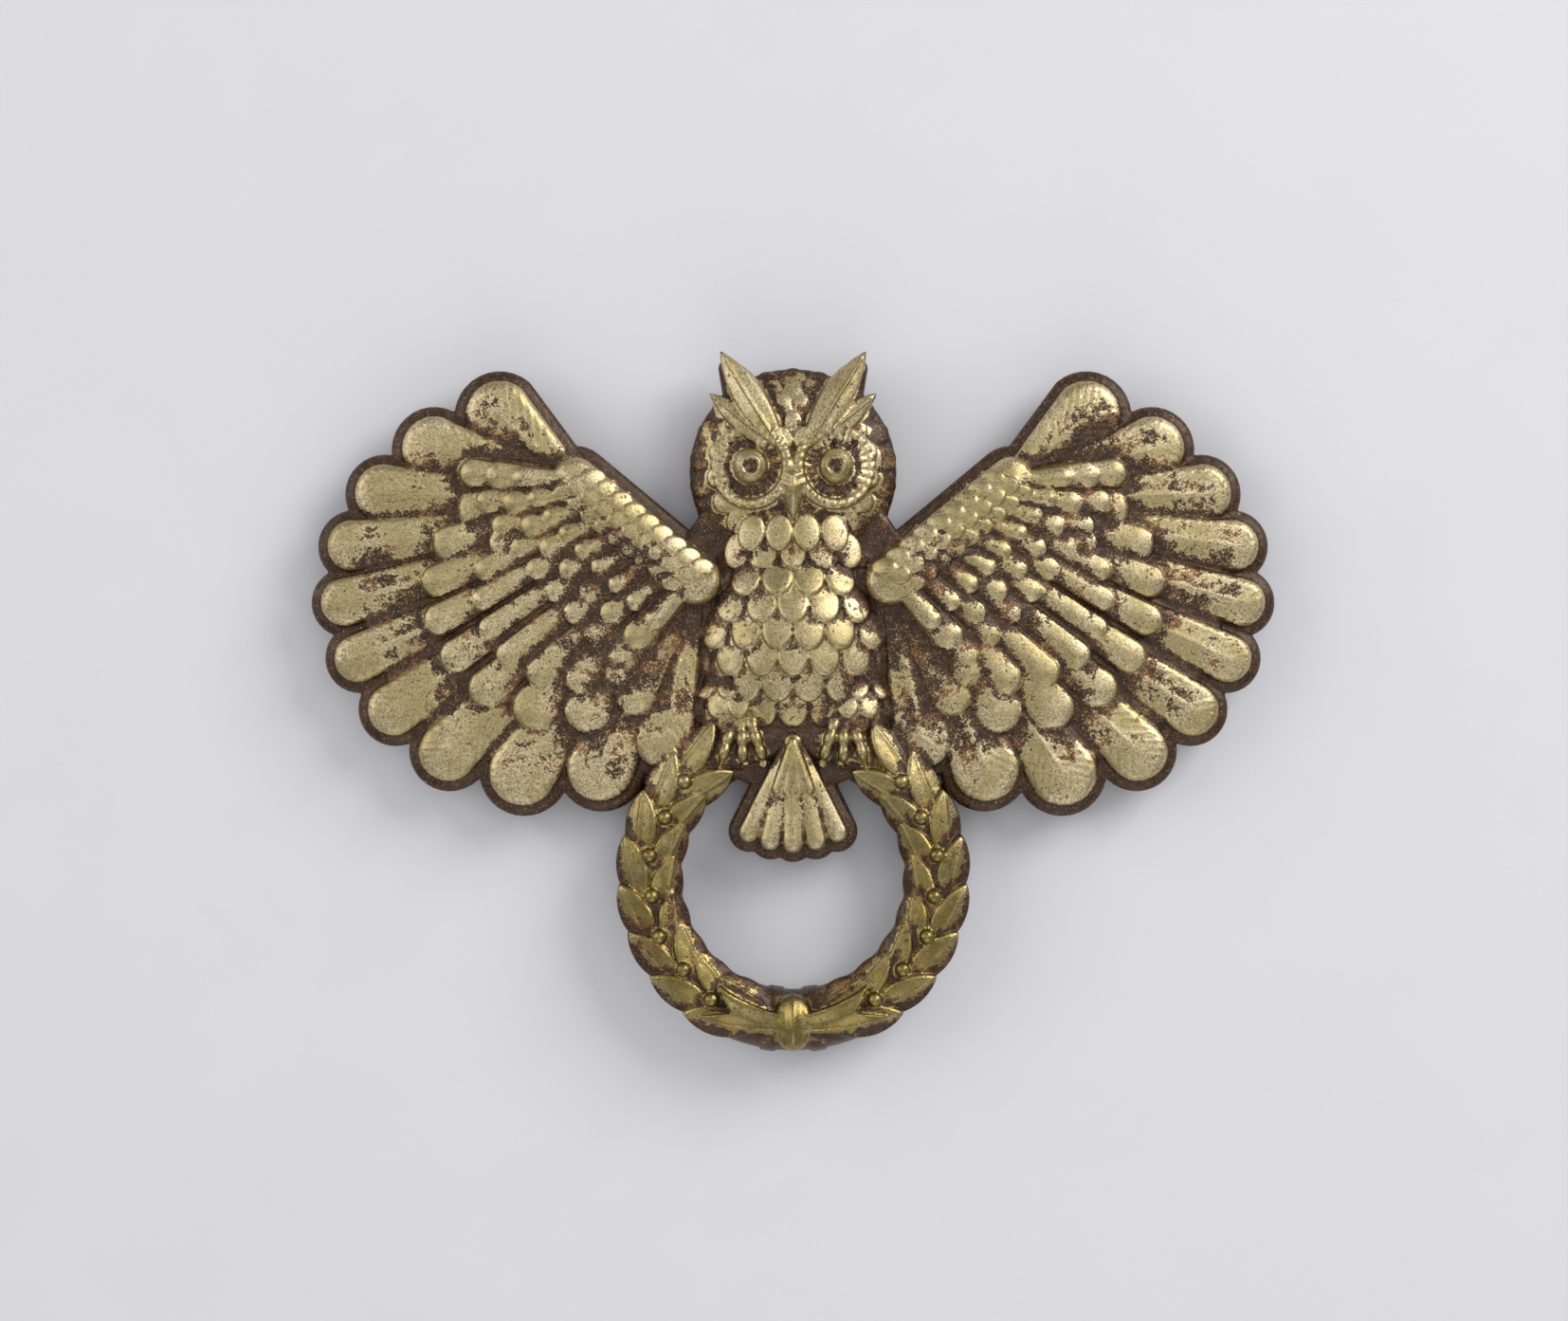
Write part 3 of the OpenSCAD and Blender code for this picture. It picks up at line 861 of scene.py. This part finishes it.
def hollow(shell, p):
    """Gives the skin the sheet's thickness. The back follows a softened copy of the front, as metal
    that a punch has pushed into a die does, and the front keeps its detail."""
    front = points(shell)
    edges = edge_list(shell)
    out = normals(shell)
    soft = front.copy()
    free = np.clip((front[:, 2] - p.rim) / 0.9, 0, 1)[:, None]
    for _ in range(24):
        soft += 0.6 * free * (neighbour_mean(soft, edges, len(soft)) - soft)
        soft[:, 2] = np.minimum(soft[:, 2], front[:, 2] + 0.1)
        out += 0.8 * (neighbour_mean(out, edges, len(out)) - out)
    out /= np.maximum(np.linalg.norm(out, axis=1), 1e-6)[:, None]
    apply_modifier(shell, "SOLIDIFY", thickness=size("sheet"), offset=-1, use_rim=True)
    count = len(front)
    whole = points(shell)
    whole[:count] = front
    back = whole[count:]
    back[:] = soft - out * size("sheet")
    inner = p.rim + 0.01
    back[:, 2] = np.where(front[:, 2] < inner, p.rim, np.maximum(back[:, 2], inner))
    # The sheet lies flat where a plate is soldered to it
    for name in ("left_anchor_plate", "right_anchor_plate"):
        low, high = (np.array(corner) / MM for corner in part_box(name))
        middle = (low + high)[:2] / 2 - [0, p.shift]
        gap = np.linalg.norm(back[:, :2] - middle, axis=1) - (high[0] - low[0]) / 2
        back[:, 2] = np.minimum(back[:, 2], high[2] + 3 * np.clip((gap - 0.6) / 2.0, 0, 1) ** 1.5)
    move_points(shell, whole)
    polish = shell.data.attributes["polish"].data
    values = read(polish, "value", 1)
    values[count:] = BACK_POLISH
    polish.foreach_set("value", values.ravel())
    # The plain back needs fewer faces than the front
    group = shell.vertex_groups.new(name="back")
    group.add(range(count, len(whole)), 1.0, "REPLACE")
    thin_out(shell, SHELL_TRIANGLES, vertex_group="back")
    shell.vertex_groups.clear()


def thin_out(piece, most, **where):
    """Merges the flattest faces until about that many triangles are left."""
    piece.data.calc_loop_triangles()
    ratio = min(1, most / len(piece.data.loop_triangles))
    apply_modifier(piece, "DECIMATE", ratio=ratio, **where)


def store(piece, name, values):
    made = piece.data.attributes.new(name, "FLOAT", "POINT")
    made.data.foreach_set("value", np.asarray(values, np.float32))


def wear(shell, maps, p):
    """How polished each point is, from 0 in a recess to 1 on a crest, with painted shade on steep faces and
    a painted highlight along ridges, and how thin the wash is.
    """
    co = points(shell)
    up = normals(shell)
    field, inside, low = maps
    fine = sample(field - blur(field, inside, 0.45 / CELL), co, low)
    broad = sample(field - blur(field, inside, 1.5 / CELL), co, low)
    edges = edge_list(shell)
    crest = -np.einsum("ij,ij->i", neighbour_mean(co, edges, len(co)) - co, up)
    crest = neighbour_mean(crest[:, None], edges, len(co))[:, 0]
    height = co[:, 2] - p.rim
    polish = 0.56 + 1.7 * np.clip(fine, -0.4, 0.3) + 0.3 * np.clip(broad, -0.5, 0.8)
    # Crests are rubbed bright and creases keep their patina. The brightening along every ridge is also a
    # painted highlight.
    polish += 3.5 * np.clip(crest, -0.05, 0.05)
    # Steep faces are darker the further they turn from straight up: painted shade.
    polish -= 0.35 * np.clip(0.55 - up[:, 2], 0, 1)
    # The head stands proud and its ground is rubbed too. Pupils, and the rest of the ground, stay dark
    from_head = np.hypot(co[:, 0], co[:, 1] - p.head[1])
    on_head = np.exp(-((from_head / 7.2) ** 10)) * (co[:, 1] > p.head[1] - 4)
    polish -= 0.40 * np.clip((1.58 - height) / 0.25, 0, 1) * (1 - on_head)
    polish += 0.14 * on_head
    pupil = np.hypot(np.abs(co[:, 0]) - size("eye_x"), co[:, 1] - p.head[1] - 0.3)
    polish -= 0.9 * np.clip((0.52 - pupil) / 0.1, 0, 1)
    # Hands wear the middle of a wing most, and dirt stays beside the body
    polish -= 0.1 * np.exp(-(((np.abs(co[:, 0]) - 9.5) / 3.5) ** 2)) * (co[:, 1] > 11)
    polish -= 0.085 * np.clip((np.abs(co[:, 0]) - 7) / 3, 0, 1) * np.clip((co[:, 1] - 9) / 3, 0, 1)
    thin = np.clip((height - 2.8) / 1.8, 0, 1) * 0.35
    from_wreath = np.abs(np.linalg.norm(co[:, :2], axis=1) - size("wreath_r"))
    thin = np.maximum(thin, np.clip(1.6 - from_wreath / 2.0, 0, 1) * np.clip(1.15 - co[:, 1] / 16, 0.3, 1))
    store(shell, "polish", np.clip(polish, 0, 1))
    store(shell, "thin_wash", np.clip(thin, 0, 1))


def real_size(piece, shift):
    """Brings a piece from its enlarged units to metres, with the wreath's centre in its place."""
    co = (points(piece) + [0, shift, 0]) * MM
    move_points(piece, co)


# Materials --------------------------------------------------------------------------------------


SMOOTH = {"interpolation_type": "SMOOTHSTEP"}
# A Mix node's colours go by place, because its sockets share their names
UNDER, OVER, MIXED = 6, 7, 2


def node(tree, kind, inputs=None, output=0, **settings):
    """Adds a shader node with its settings, fills or links its inputs, and gives one of its outputs."""
    made = tree.nodes.new("ShaderNode" + kind)
    for name, value in settings.items():
        setattr(made, name, value)
    for socket, value in (inputs or {}).items():
        if isinstance(value, bpy.types.NodeSocket):
            tree.links.new(value, made.inputs[socket])
        else:
            made.inputs[socket].default_value = value
    return made.outputs[output] if made.outputs else None


def per_mm(millimetres):
    """The scale that gives a pattern a feature of that size on coordinates in metres."""
    return 1 / (millimetres * MM)


def tint(name, shade=1.0):
    c = getattr(bpy.context.scene.badge_colours, name)
    return (*[min(1, v * shade) for v in c], 1)


def new_material(name):
    made = bpy.data.materials.new(name)
    made.use_nodes = True
    made.node_tree.nodes.clear()
    return made, made.node_tree


def add_up(tree, total, *parts):
    """A total with each pattern added to it by its share."""
    for pattern, share in parts:
        total = node(tree, "Math", {0: pattern, 1: share, 2: total}, operation="MULTIPLY_ADD")
    return total


def coat(tree, under, over, pattern, low, high, most=1.0):
    """Lays one colour over another where a pattern rises from a low level to a high one."""
    levels = {"Value": pattern, "From Min": low, "From Max": high, "To Max": most}
    share = node(tree, "MapRange", levels, **SMOOTH)
    return node(tree, "Mix", {0: share, UNDER: under, OVER: over}, MIXED, data_type="RGBA")


def finish(tree, base, rough, metal, height, bump_mm):
    """The shader, with a bump of a real depth in millimetres."""
    bump = node(tree, "Bump", {"Height": height, "Distance": bump_mm * MM, "Strength": 1.0})
    looks = {"Base Color": base, "Roughness": rough, "Metallic": metal, "Normal": bump}
    node(tree, "OutputMaterial", {"Surface": node(tree, "BsdfPrincipled", looks)})


def silvered_tombak():
    """Die-struck tombak sheet with a silver wash and a century of wear. Crests are a satin champagne
    silver, granular like fine sand, with a painted highlight along ridges and painted shade on steep faces.
    Recesses hold a dark brown patina with an orange-brown edge and bright flecks of metal. The wreath and
    the highest relief are rubbed through to the yellow tombak."""
    material, tree = new_material("silvered_tombak_worn")
    where = node(tree, "TexCoord", output="Object")
    # The polish map carries painted shade on steep faces and a painted highlight along ridges, as well as
    # wear.
    polish = node(tree, "Attribute", output="Fac", attribute_name="polish")
    thin = node(tree, "Attribute", output="Fac", attribute_name="thin_wash")
    # Size in millimetres, detail and roughness of each pattern. The last grain of a struck and pickled
    # surface is a few hundredths of a millimetre wide. The sand is drawn coarser, so that it shows.
    patterns = ((3.4, 4, 0.6), (1.5, 3, 0.6), (0.5, 5, 0.7), (0.13, 3, 0.75), (2.3, 3, 0.6))
    blotch, cloud, grain, sand, patch = (
        node(tree, "TexNoise", {"Vector": where, "Scale": per_mm(mm), "Detail": detail, "Roughness": rough})
        for mm, detail, rough in patterns
    )
    # The patina's edge is ragged: blotches of 3 mm, grain of half a millimetre and fine sand. Each
    # pattern averages a half, so together they raise the level by 1.05.
    level = add_up(tree, polish, (blotch, 1.05), (grain, 0.75), (sand, 0.3))
    bright = node(tree, "MapRange", {"Value": level, "From Min": 1.50, "From Max": 1.58}, **SMOOTH)
    edge = node(tree, "MapRange", {"Value": level, "From Min": 1.31, "From Max": 1.53}, **SMOOTH)
    # Dark pits where the wash has let corrosion through, in patches
    patch = node(tree, "MapRange", {"Value": patch, "From Min": 0.48, "From Max": 0.62}, **SMOOTH)
    pits = add_up(tree, node(tree, "TexVoronoi", {"Vector": where, "Scale": per_mm(0.36)}), (sand, 0.5))
    pits = {"Value": pits, "From Min": 0.62, "From Max": 0.42, "To Max": patch}
    bright = add_up(tree, bright, (node(tree, "MapRange", pits, **SMOOTH), -0.8))
    # Flecks of metal shine through the patina, more of them near its edge
    flecks = add_up(tree, sand, (edge, 0.07))
    flecks = {"Value": flecks, "From Min": 0.60, "From Max": 0.66, "To Max": 0.55}
    flecks = node(tree, "MapRange", flecks, **SMOOTH)
    bright = node(tree, "Math", {0: bright, 1: flecks}, operation="MAXIMUM", use_clamp=True)
    brown = coat(tree, tint("patina"), tint("patina", 2.3), grain, 0.42, 0.66)
    brown = coat(tree, brown, tint("copper"), cloud, 0.45, 0.62, edge)
    silver = coat(tree, tint("silver", 0.55), tint("silver", 1.30), sand, 0.36, 0.62)
    silver = coat(tree, silver, tint("tombak", 1.15), blotch, 0.42, 0.6, 0.5)
    silver = coat(tree, silver, tint("patina", 3.4), grain, 0.56, 0.72, 0.4)
    rubbed = coat(tree, tint("tombak", 0.75), tint("tombak", 1.05), cloud, 0.4, 0.62)
    rubbed = coat(tree, rubbed, tint("copper", 1.5), grain, 0.52, 0.66, 0.5)
    worn = {"Value": cloud, "From Min": 0.25, "From Max": 0.5, "To Min": 0.55}
    worn = node(tree, "Math", {0: node(tree, "MapRange", worn, **SMOOTH), 1: thin}, operation="MULTIPLY")
    silver = node(tree, "Mix", {0: worn, UNDER: silver, OVER: rubbed}, MIXED, data_type="RGBA")
    base = node(tree, "Mix", {0: bright, UNDER: brown, OVER: silver}, MIXED, data_type="RGBA")
    # Sand makes the metal satin, and rubbing makes it glossier
    satin = {"Value": sand, "From Min": 0.3, "From Max": 0.7, "To Min": 0.28, "To Max": 0.46}
    rough = add_up(tree, node(tree, "MapRange", satin, **SMOOTH), (thin, -0.13))
    metal = node(tree, "MapRange", {"Value": bright, "To Min": 0.35}, **SMOOTH)
    height = add_up(tree, 0.0, (grain, 0.6), (sand, 0.55), (bright, 0.35))
    finish(tree, base, rough, metal, height, 0.035)
    return material


def brass(name, colour_name, pitch, rough_low, dull):
    """Brass strip or plate, drawn or stamped: fine lines from the tool, and tarnish in patches. Real lines
    are a few hundredths of a millimetre apart. They are drawn coarser, so that they show."""
    material, tree = new_material(name)
    where = node(tree, "TexCoord", output="Object")
    stretched = node(tree, "Mapping", {"Vector": where, "Scale": (1, 0.12, 1)})
    lines = {"Vector": stretched, "Scale": per_mm(pitch), "Detail": 3, "Roughness": 0.6}
    lines = node(tree, "TexNoise", lines)
    tarnish = {"Vector": where, "Scale": per_mm(1.6), "Detail": 4, "Roughness": 0.65}
    tarnish = node(tree, "TexNoise", tarnish)
    base = coat(tree, tint(colour_name), tint("patina", 2.2), tarnish, 0.38, 0.68, dull)
    base = coat(tree, base, tint(colour_name, 0.62), lines, 0.35, 0.7, 0.35)
    rough = {"Value": tarnish, "From Min": 0.35, "From Max": 0.7}
    rough.update({"To Min": rough_low, "To Max": rough_low + 0.2})
    metal = {"Value": tarnish, "From Min": 0.4, "From Max": 0.75, "To Min": 1.0, "To Max": 0.7}
    rough, metal = (node(tree, "MapRange", levels, **SMOOTH) for levels in (rough, metal))
    finish(tree, base, rough, metal, lines, 0.01)
    return material


def soft_solder():
    """Soft tin solder: a dull grey, slightly frosted skin that froze in small crystals."""
    material, tree = new_material("soft_solder_dulled")
    where = node(tree, "TexCoord", output="Object")
    crystals = node(tree, "TexVoronoi", {"Vector": where, "Scale": per_mm(0.35)})
    cloud = {"Vector": where, "Scale": per_mm(1.1), "Detail": 4, "Roughness": 0.6}
    cloud = node(tree, "TexNoise", cloud)
    base = coat(tree, tint("solder", 0.6), tint("solder"), cloud, 0.35, 0.65)
    rough = {"Value": crystals, "From Min": 0.0, "From Max": 0.6, "To Min": 0.32, "To Max": 0.5}
    rough = node(tree, "MapRange", rough, **SMOOTH)
    finish(tree, base, rough, 0.95, add_up(tree, crystals, (cloud, 1.0)), 0.012)
    return material


def painted_board():
    """A matt off-white board under soft light, with the faint mottle of its coating."""
    material, tree = new_material("matt_board")
    where = node(tree, "TexCoord", output="Object")
    mottle, tooth = (
        node(tree, "TexNoise", {"Vector": where, "Scale": per_mm(mm), "Detail": 3, "Roughness": 0.6})
        for mm in (9.0, 0.4)
    )
    base = coat(tree, tint("floor", 0.988), tint("floor"), mottle, 0.35, 0.65)
    rough = {"Value": mottle, "From Min": 0.3, "From Max": 0.7, "To Min": 0.55, "To Max": 0.65}
    finish(tree, base, node(tree, "MapRange", rough, **SMOOTH), 0.0, tooth, 0.002)
    return material


def dress(piece, material, slot, body, *nodes):
    """Gives a finished piece its material and its body, and hides the CAD nodes that it stands for."""
    piece.data.materials.clear()
    piece.data.materials.append(material)
    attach(piece, body)
    if nodes:
        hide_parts(*nodes)


# Operators --------------------------------------------------------------------------------------


class BADGE_OT_shell(bpy.types.Operator):
    """Model the pressed hollow shell with the owl, its wings and the wreath"""

    bl_idname = "badge.shell"
    bl_label = "Pressed shell"

    def execute(self, context):
        p = lay_out()
        feather = model_feather()
        leaf = model_leaf()
        blanks = wing_blanks(p, feather) + breast_blanks(p, feather) + head_blanks(p, feather, leaf)
        blanks += leg_blanks(p, feather) + tail_blanks(p, feather) + wreath_blanks(p, leaf)
        discard(feather, leaf)
        shell = fuse(blanks, "pressed_shell", VOXEL)
        engrave(shell, p)
        maps = height_map(points(shell))
        thin_out(shell, SKIN_TRIANGLES)
        wear(shell, maps, p)
        hollow(shell, p)
        real_size(shell, p.shift)
        select_only(shell)
        bpy.ops.object.shade_smooth()
        dress(shell, silvered_tombak(), "silvered_tombak", "badge", "badge_shell")
        return {"FINISHED"}


class BADGE_OT_fixings(bpy.types.Operator):
    """Finish the anchor plates and the split pins in the hollow back"""

    bl_idname = "badge.fixings"
    bl_label = "Plates and pins"

    def execute(self, context):
        strip = brass("brass_strip_drawn", "pin", 0.12, 0.28, 0.6)
        plate = brass("brass_plate_stamped", "plate", 0.3, 0.36, 0.8)
        for side in ("left", "right"):
            for name in ("anchor_plate", "pin_shank", "upper_leg", "lower_leg"):
                look = plate if name == "anchor_plate" else strip
                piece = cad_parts[f"{side}_{name}"]
                piece.data.materials.clear()
                piece.data.materials.append(look)
        return {"FINISHED"}


class BADGE_OT_solder(bpy.types.Operator):
    """Model the solder that holds the plates to the shell and the pins to the plates"""

    bl_idname = "badge.solder"
    bl_label = "Solder"

    def execute(self, context):
        look = soft_solder()
        for seed, side in enumerate(("left", "right")):
            for kind, width in (("plate", 0.6), ("pin", 0.5)):
                solder_bead(f"{side}_{kind}_solder", width, seed * 7.3 + width, look)
        return {"FINISHED"}


def solder_bead(name, width, seed, look):
    """A run of solder round an edge. It has flowed further in some places than in others."""
    low, high = (np.array(corner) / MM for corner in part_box(name))
    middle = (low + high) / 2
    reach = (high[0] - low[0]) / 2
    piece = start(
        bpy.ops.mesh.primitive_torus_add,
        major_radius=reach - width, minor_radius=1, major_segments=112, minor_segments=20,
    )
    co = points(piece)
    plan = np.linalg.norm(co[:, :2], axis=1)
    way = co[:, :2] / plan[:, None]
    broad, fine = (np.array([noise.noise(Vector((*w * scale, seed))) for w in way]) for scale in (1.6, 5))
    flow = broad + 0.4 * fine
    across = (plan - (reach - width)) * width * (0.84 + 0.16 * np.clip(flow, -1, 1))
    drop = (high[2] - low[2]) * (0.8 + 0.2 * np.clip(flow, -1, 1))
    # The side against the metal is buried in it
    z = high[2] + np.where(co[:, 2] < 0, co[:, 2] * drop, co[:, 2] * 0.12)
    out = way * (reach - width + np.where(across > 0, across, across * 0.25))[:, None]
    move_points(piece, np.stack([middle[0] + out[:, 0], middle[1] + out[:, 1], z], 1) * MM)
    piece.name = f"{name}_bead"
    piece.data.name = piece.name
    bpy.ops.object.shade_smooth()
    dress(piece, look, "soft_solder", "badge", name)


class BADGE_OT_stage(bpy.types.Operator):
    """Set up the pale floor, the soft studio light and the camera"""

    bl_idname = "badge.stage"
    bl_label = "Stage"

    def execute(self, context):
        floor = start(bpy.ops.mesh.primitive_plane_add, size=3.0)
        floor.name = "floor"
        floor.data.materials.append(painted_board())
        # A key light from the upper right gives the relief its shadows. The others only lift them.
        for name, place, width, power in (
            ("key_light", (0.30, 0.24, 0.27), 0.24, 1.15),
            ("side_light", (-0.34, 0.10, 0.24), 0.30, 0.45),
            ("front_light", (0.02, -0.34, 0.22), 0.30, 0.25),
            ("top_light", (0.09, 0.06, 0.60), 0.42, 0.42),
        ):
            soft_light(name, place, width, power)
        world = bpy.data.worlds.new("studio")
        world.use_nodes = True
        sky = world.node_tree.nodes["Background"].inputs
        sky["Color"].default_value = (0.80, 0.81, 0.84, 1)
        sky["Strength"].default_value = 0.48
        context.scene.world = world
        context.scene.view_settings.view_transform = "Standard"
        camera = bpy.data.objects.new("camera", bpy.data.cameras.new("camera"))
        context.scene.collection.objects.link(camera)
        camera.data.lens = 90
        camera.data.clip_start = 0.01
        # Straight down, with a little more of the floor above the badge than below it
        middle = (CAD_BOX[0] + CAD_BOX[1]) / 2
        view_width = 0.104
        distance = view_width * camera.data.lens / camera.data.sensor_width
        camera.location = (middle.x - 0.0006, middle.y + 0.0028, middle.z + distance)
        context.scene.camera = camera
        return {"FINISHED"}


def soft_light(name, place, width, power):
    """A square softbox aimed at the badge. Its power in watts suits a badge a few centimetres wide."""
    data = bpy.data.lights.new(name, "AREA")
    data.size = width
    data.energy = power
    light = bpy.data.objects.new(name, data)
    bpy.context.scene.collection.objects.link(light)
    light.location = place
    light.rotation_euler = (-Vector(place)).to_track_quat("-Z", "Y").to_euler()


class BADGE_PT_panel(bpy.types.Panel):
    """Lists the badge's pieces, sizes and colours"""

    bl_idname = "BADGE_PT_panel"
    bl_label = "Owl cap badge"
    bl_space_type = "VIEW_3D"
    bl_region_type = "UI"
    bl_category = "Badge"

    def draw(self, context):
        for operator in PIECES:
            self.layout.operator(operator.bl_idname)
        for group in (context.scene.badge_sizes, context.scene.badge_colours):
            for name in group.bl_rna.properties.keys():
                if name not in {"rna_type", "name"}:
                    self.layout.prop(group, name)


PIECES = (BADGE_OT_shell, BADGE_OT_fixings, BADGE_OT_solder, BADGE_OT_stage)
CLASSES = (BadgeSizes, BadgeColours, *PIECES, BADGE_PT_panel)


def register():
    for item in CLASSES:
        bpy.utils.register_class(item)
    bpy.types.Scene.badge_sizes = PointerProperty(type=BadgeSizes)
    bpy.types.Scene.badge_colours = PointerProperty(type=BadgeColours)


def unregister():
    del bpy.types.Scene.badge_sizes
    del bpy.types.Scene.badge_colours
    for item in reversed(CLASSES):
        bpy.utils.unregister_class(item)


def main():
    """Makes every piece in order."""
    register()
    bpy.ops.badge.stage()
    bpy.ops.badge.shell()
    bpy.ops.badge.fixings()
    bpy.ops.badge.solder()


if __name__ == "__main__":
    main()
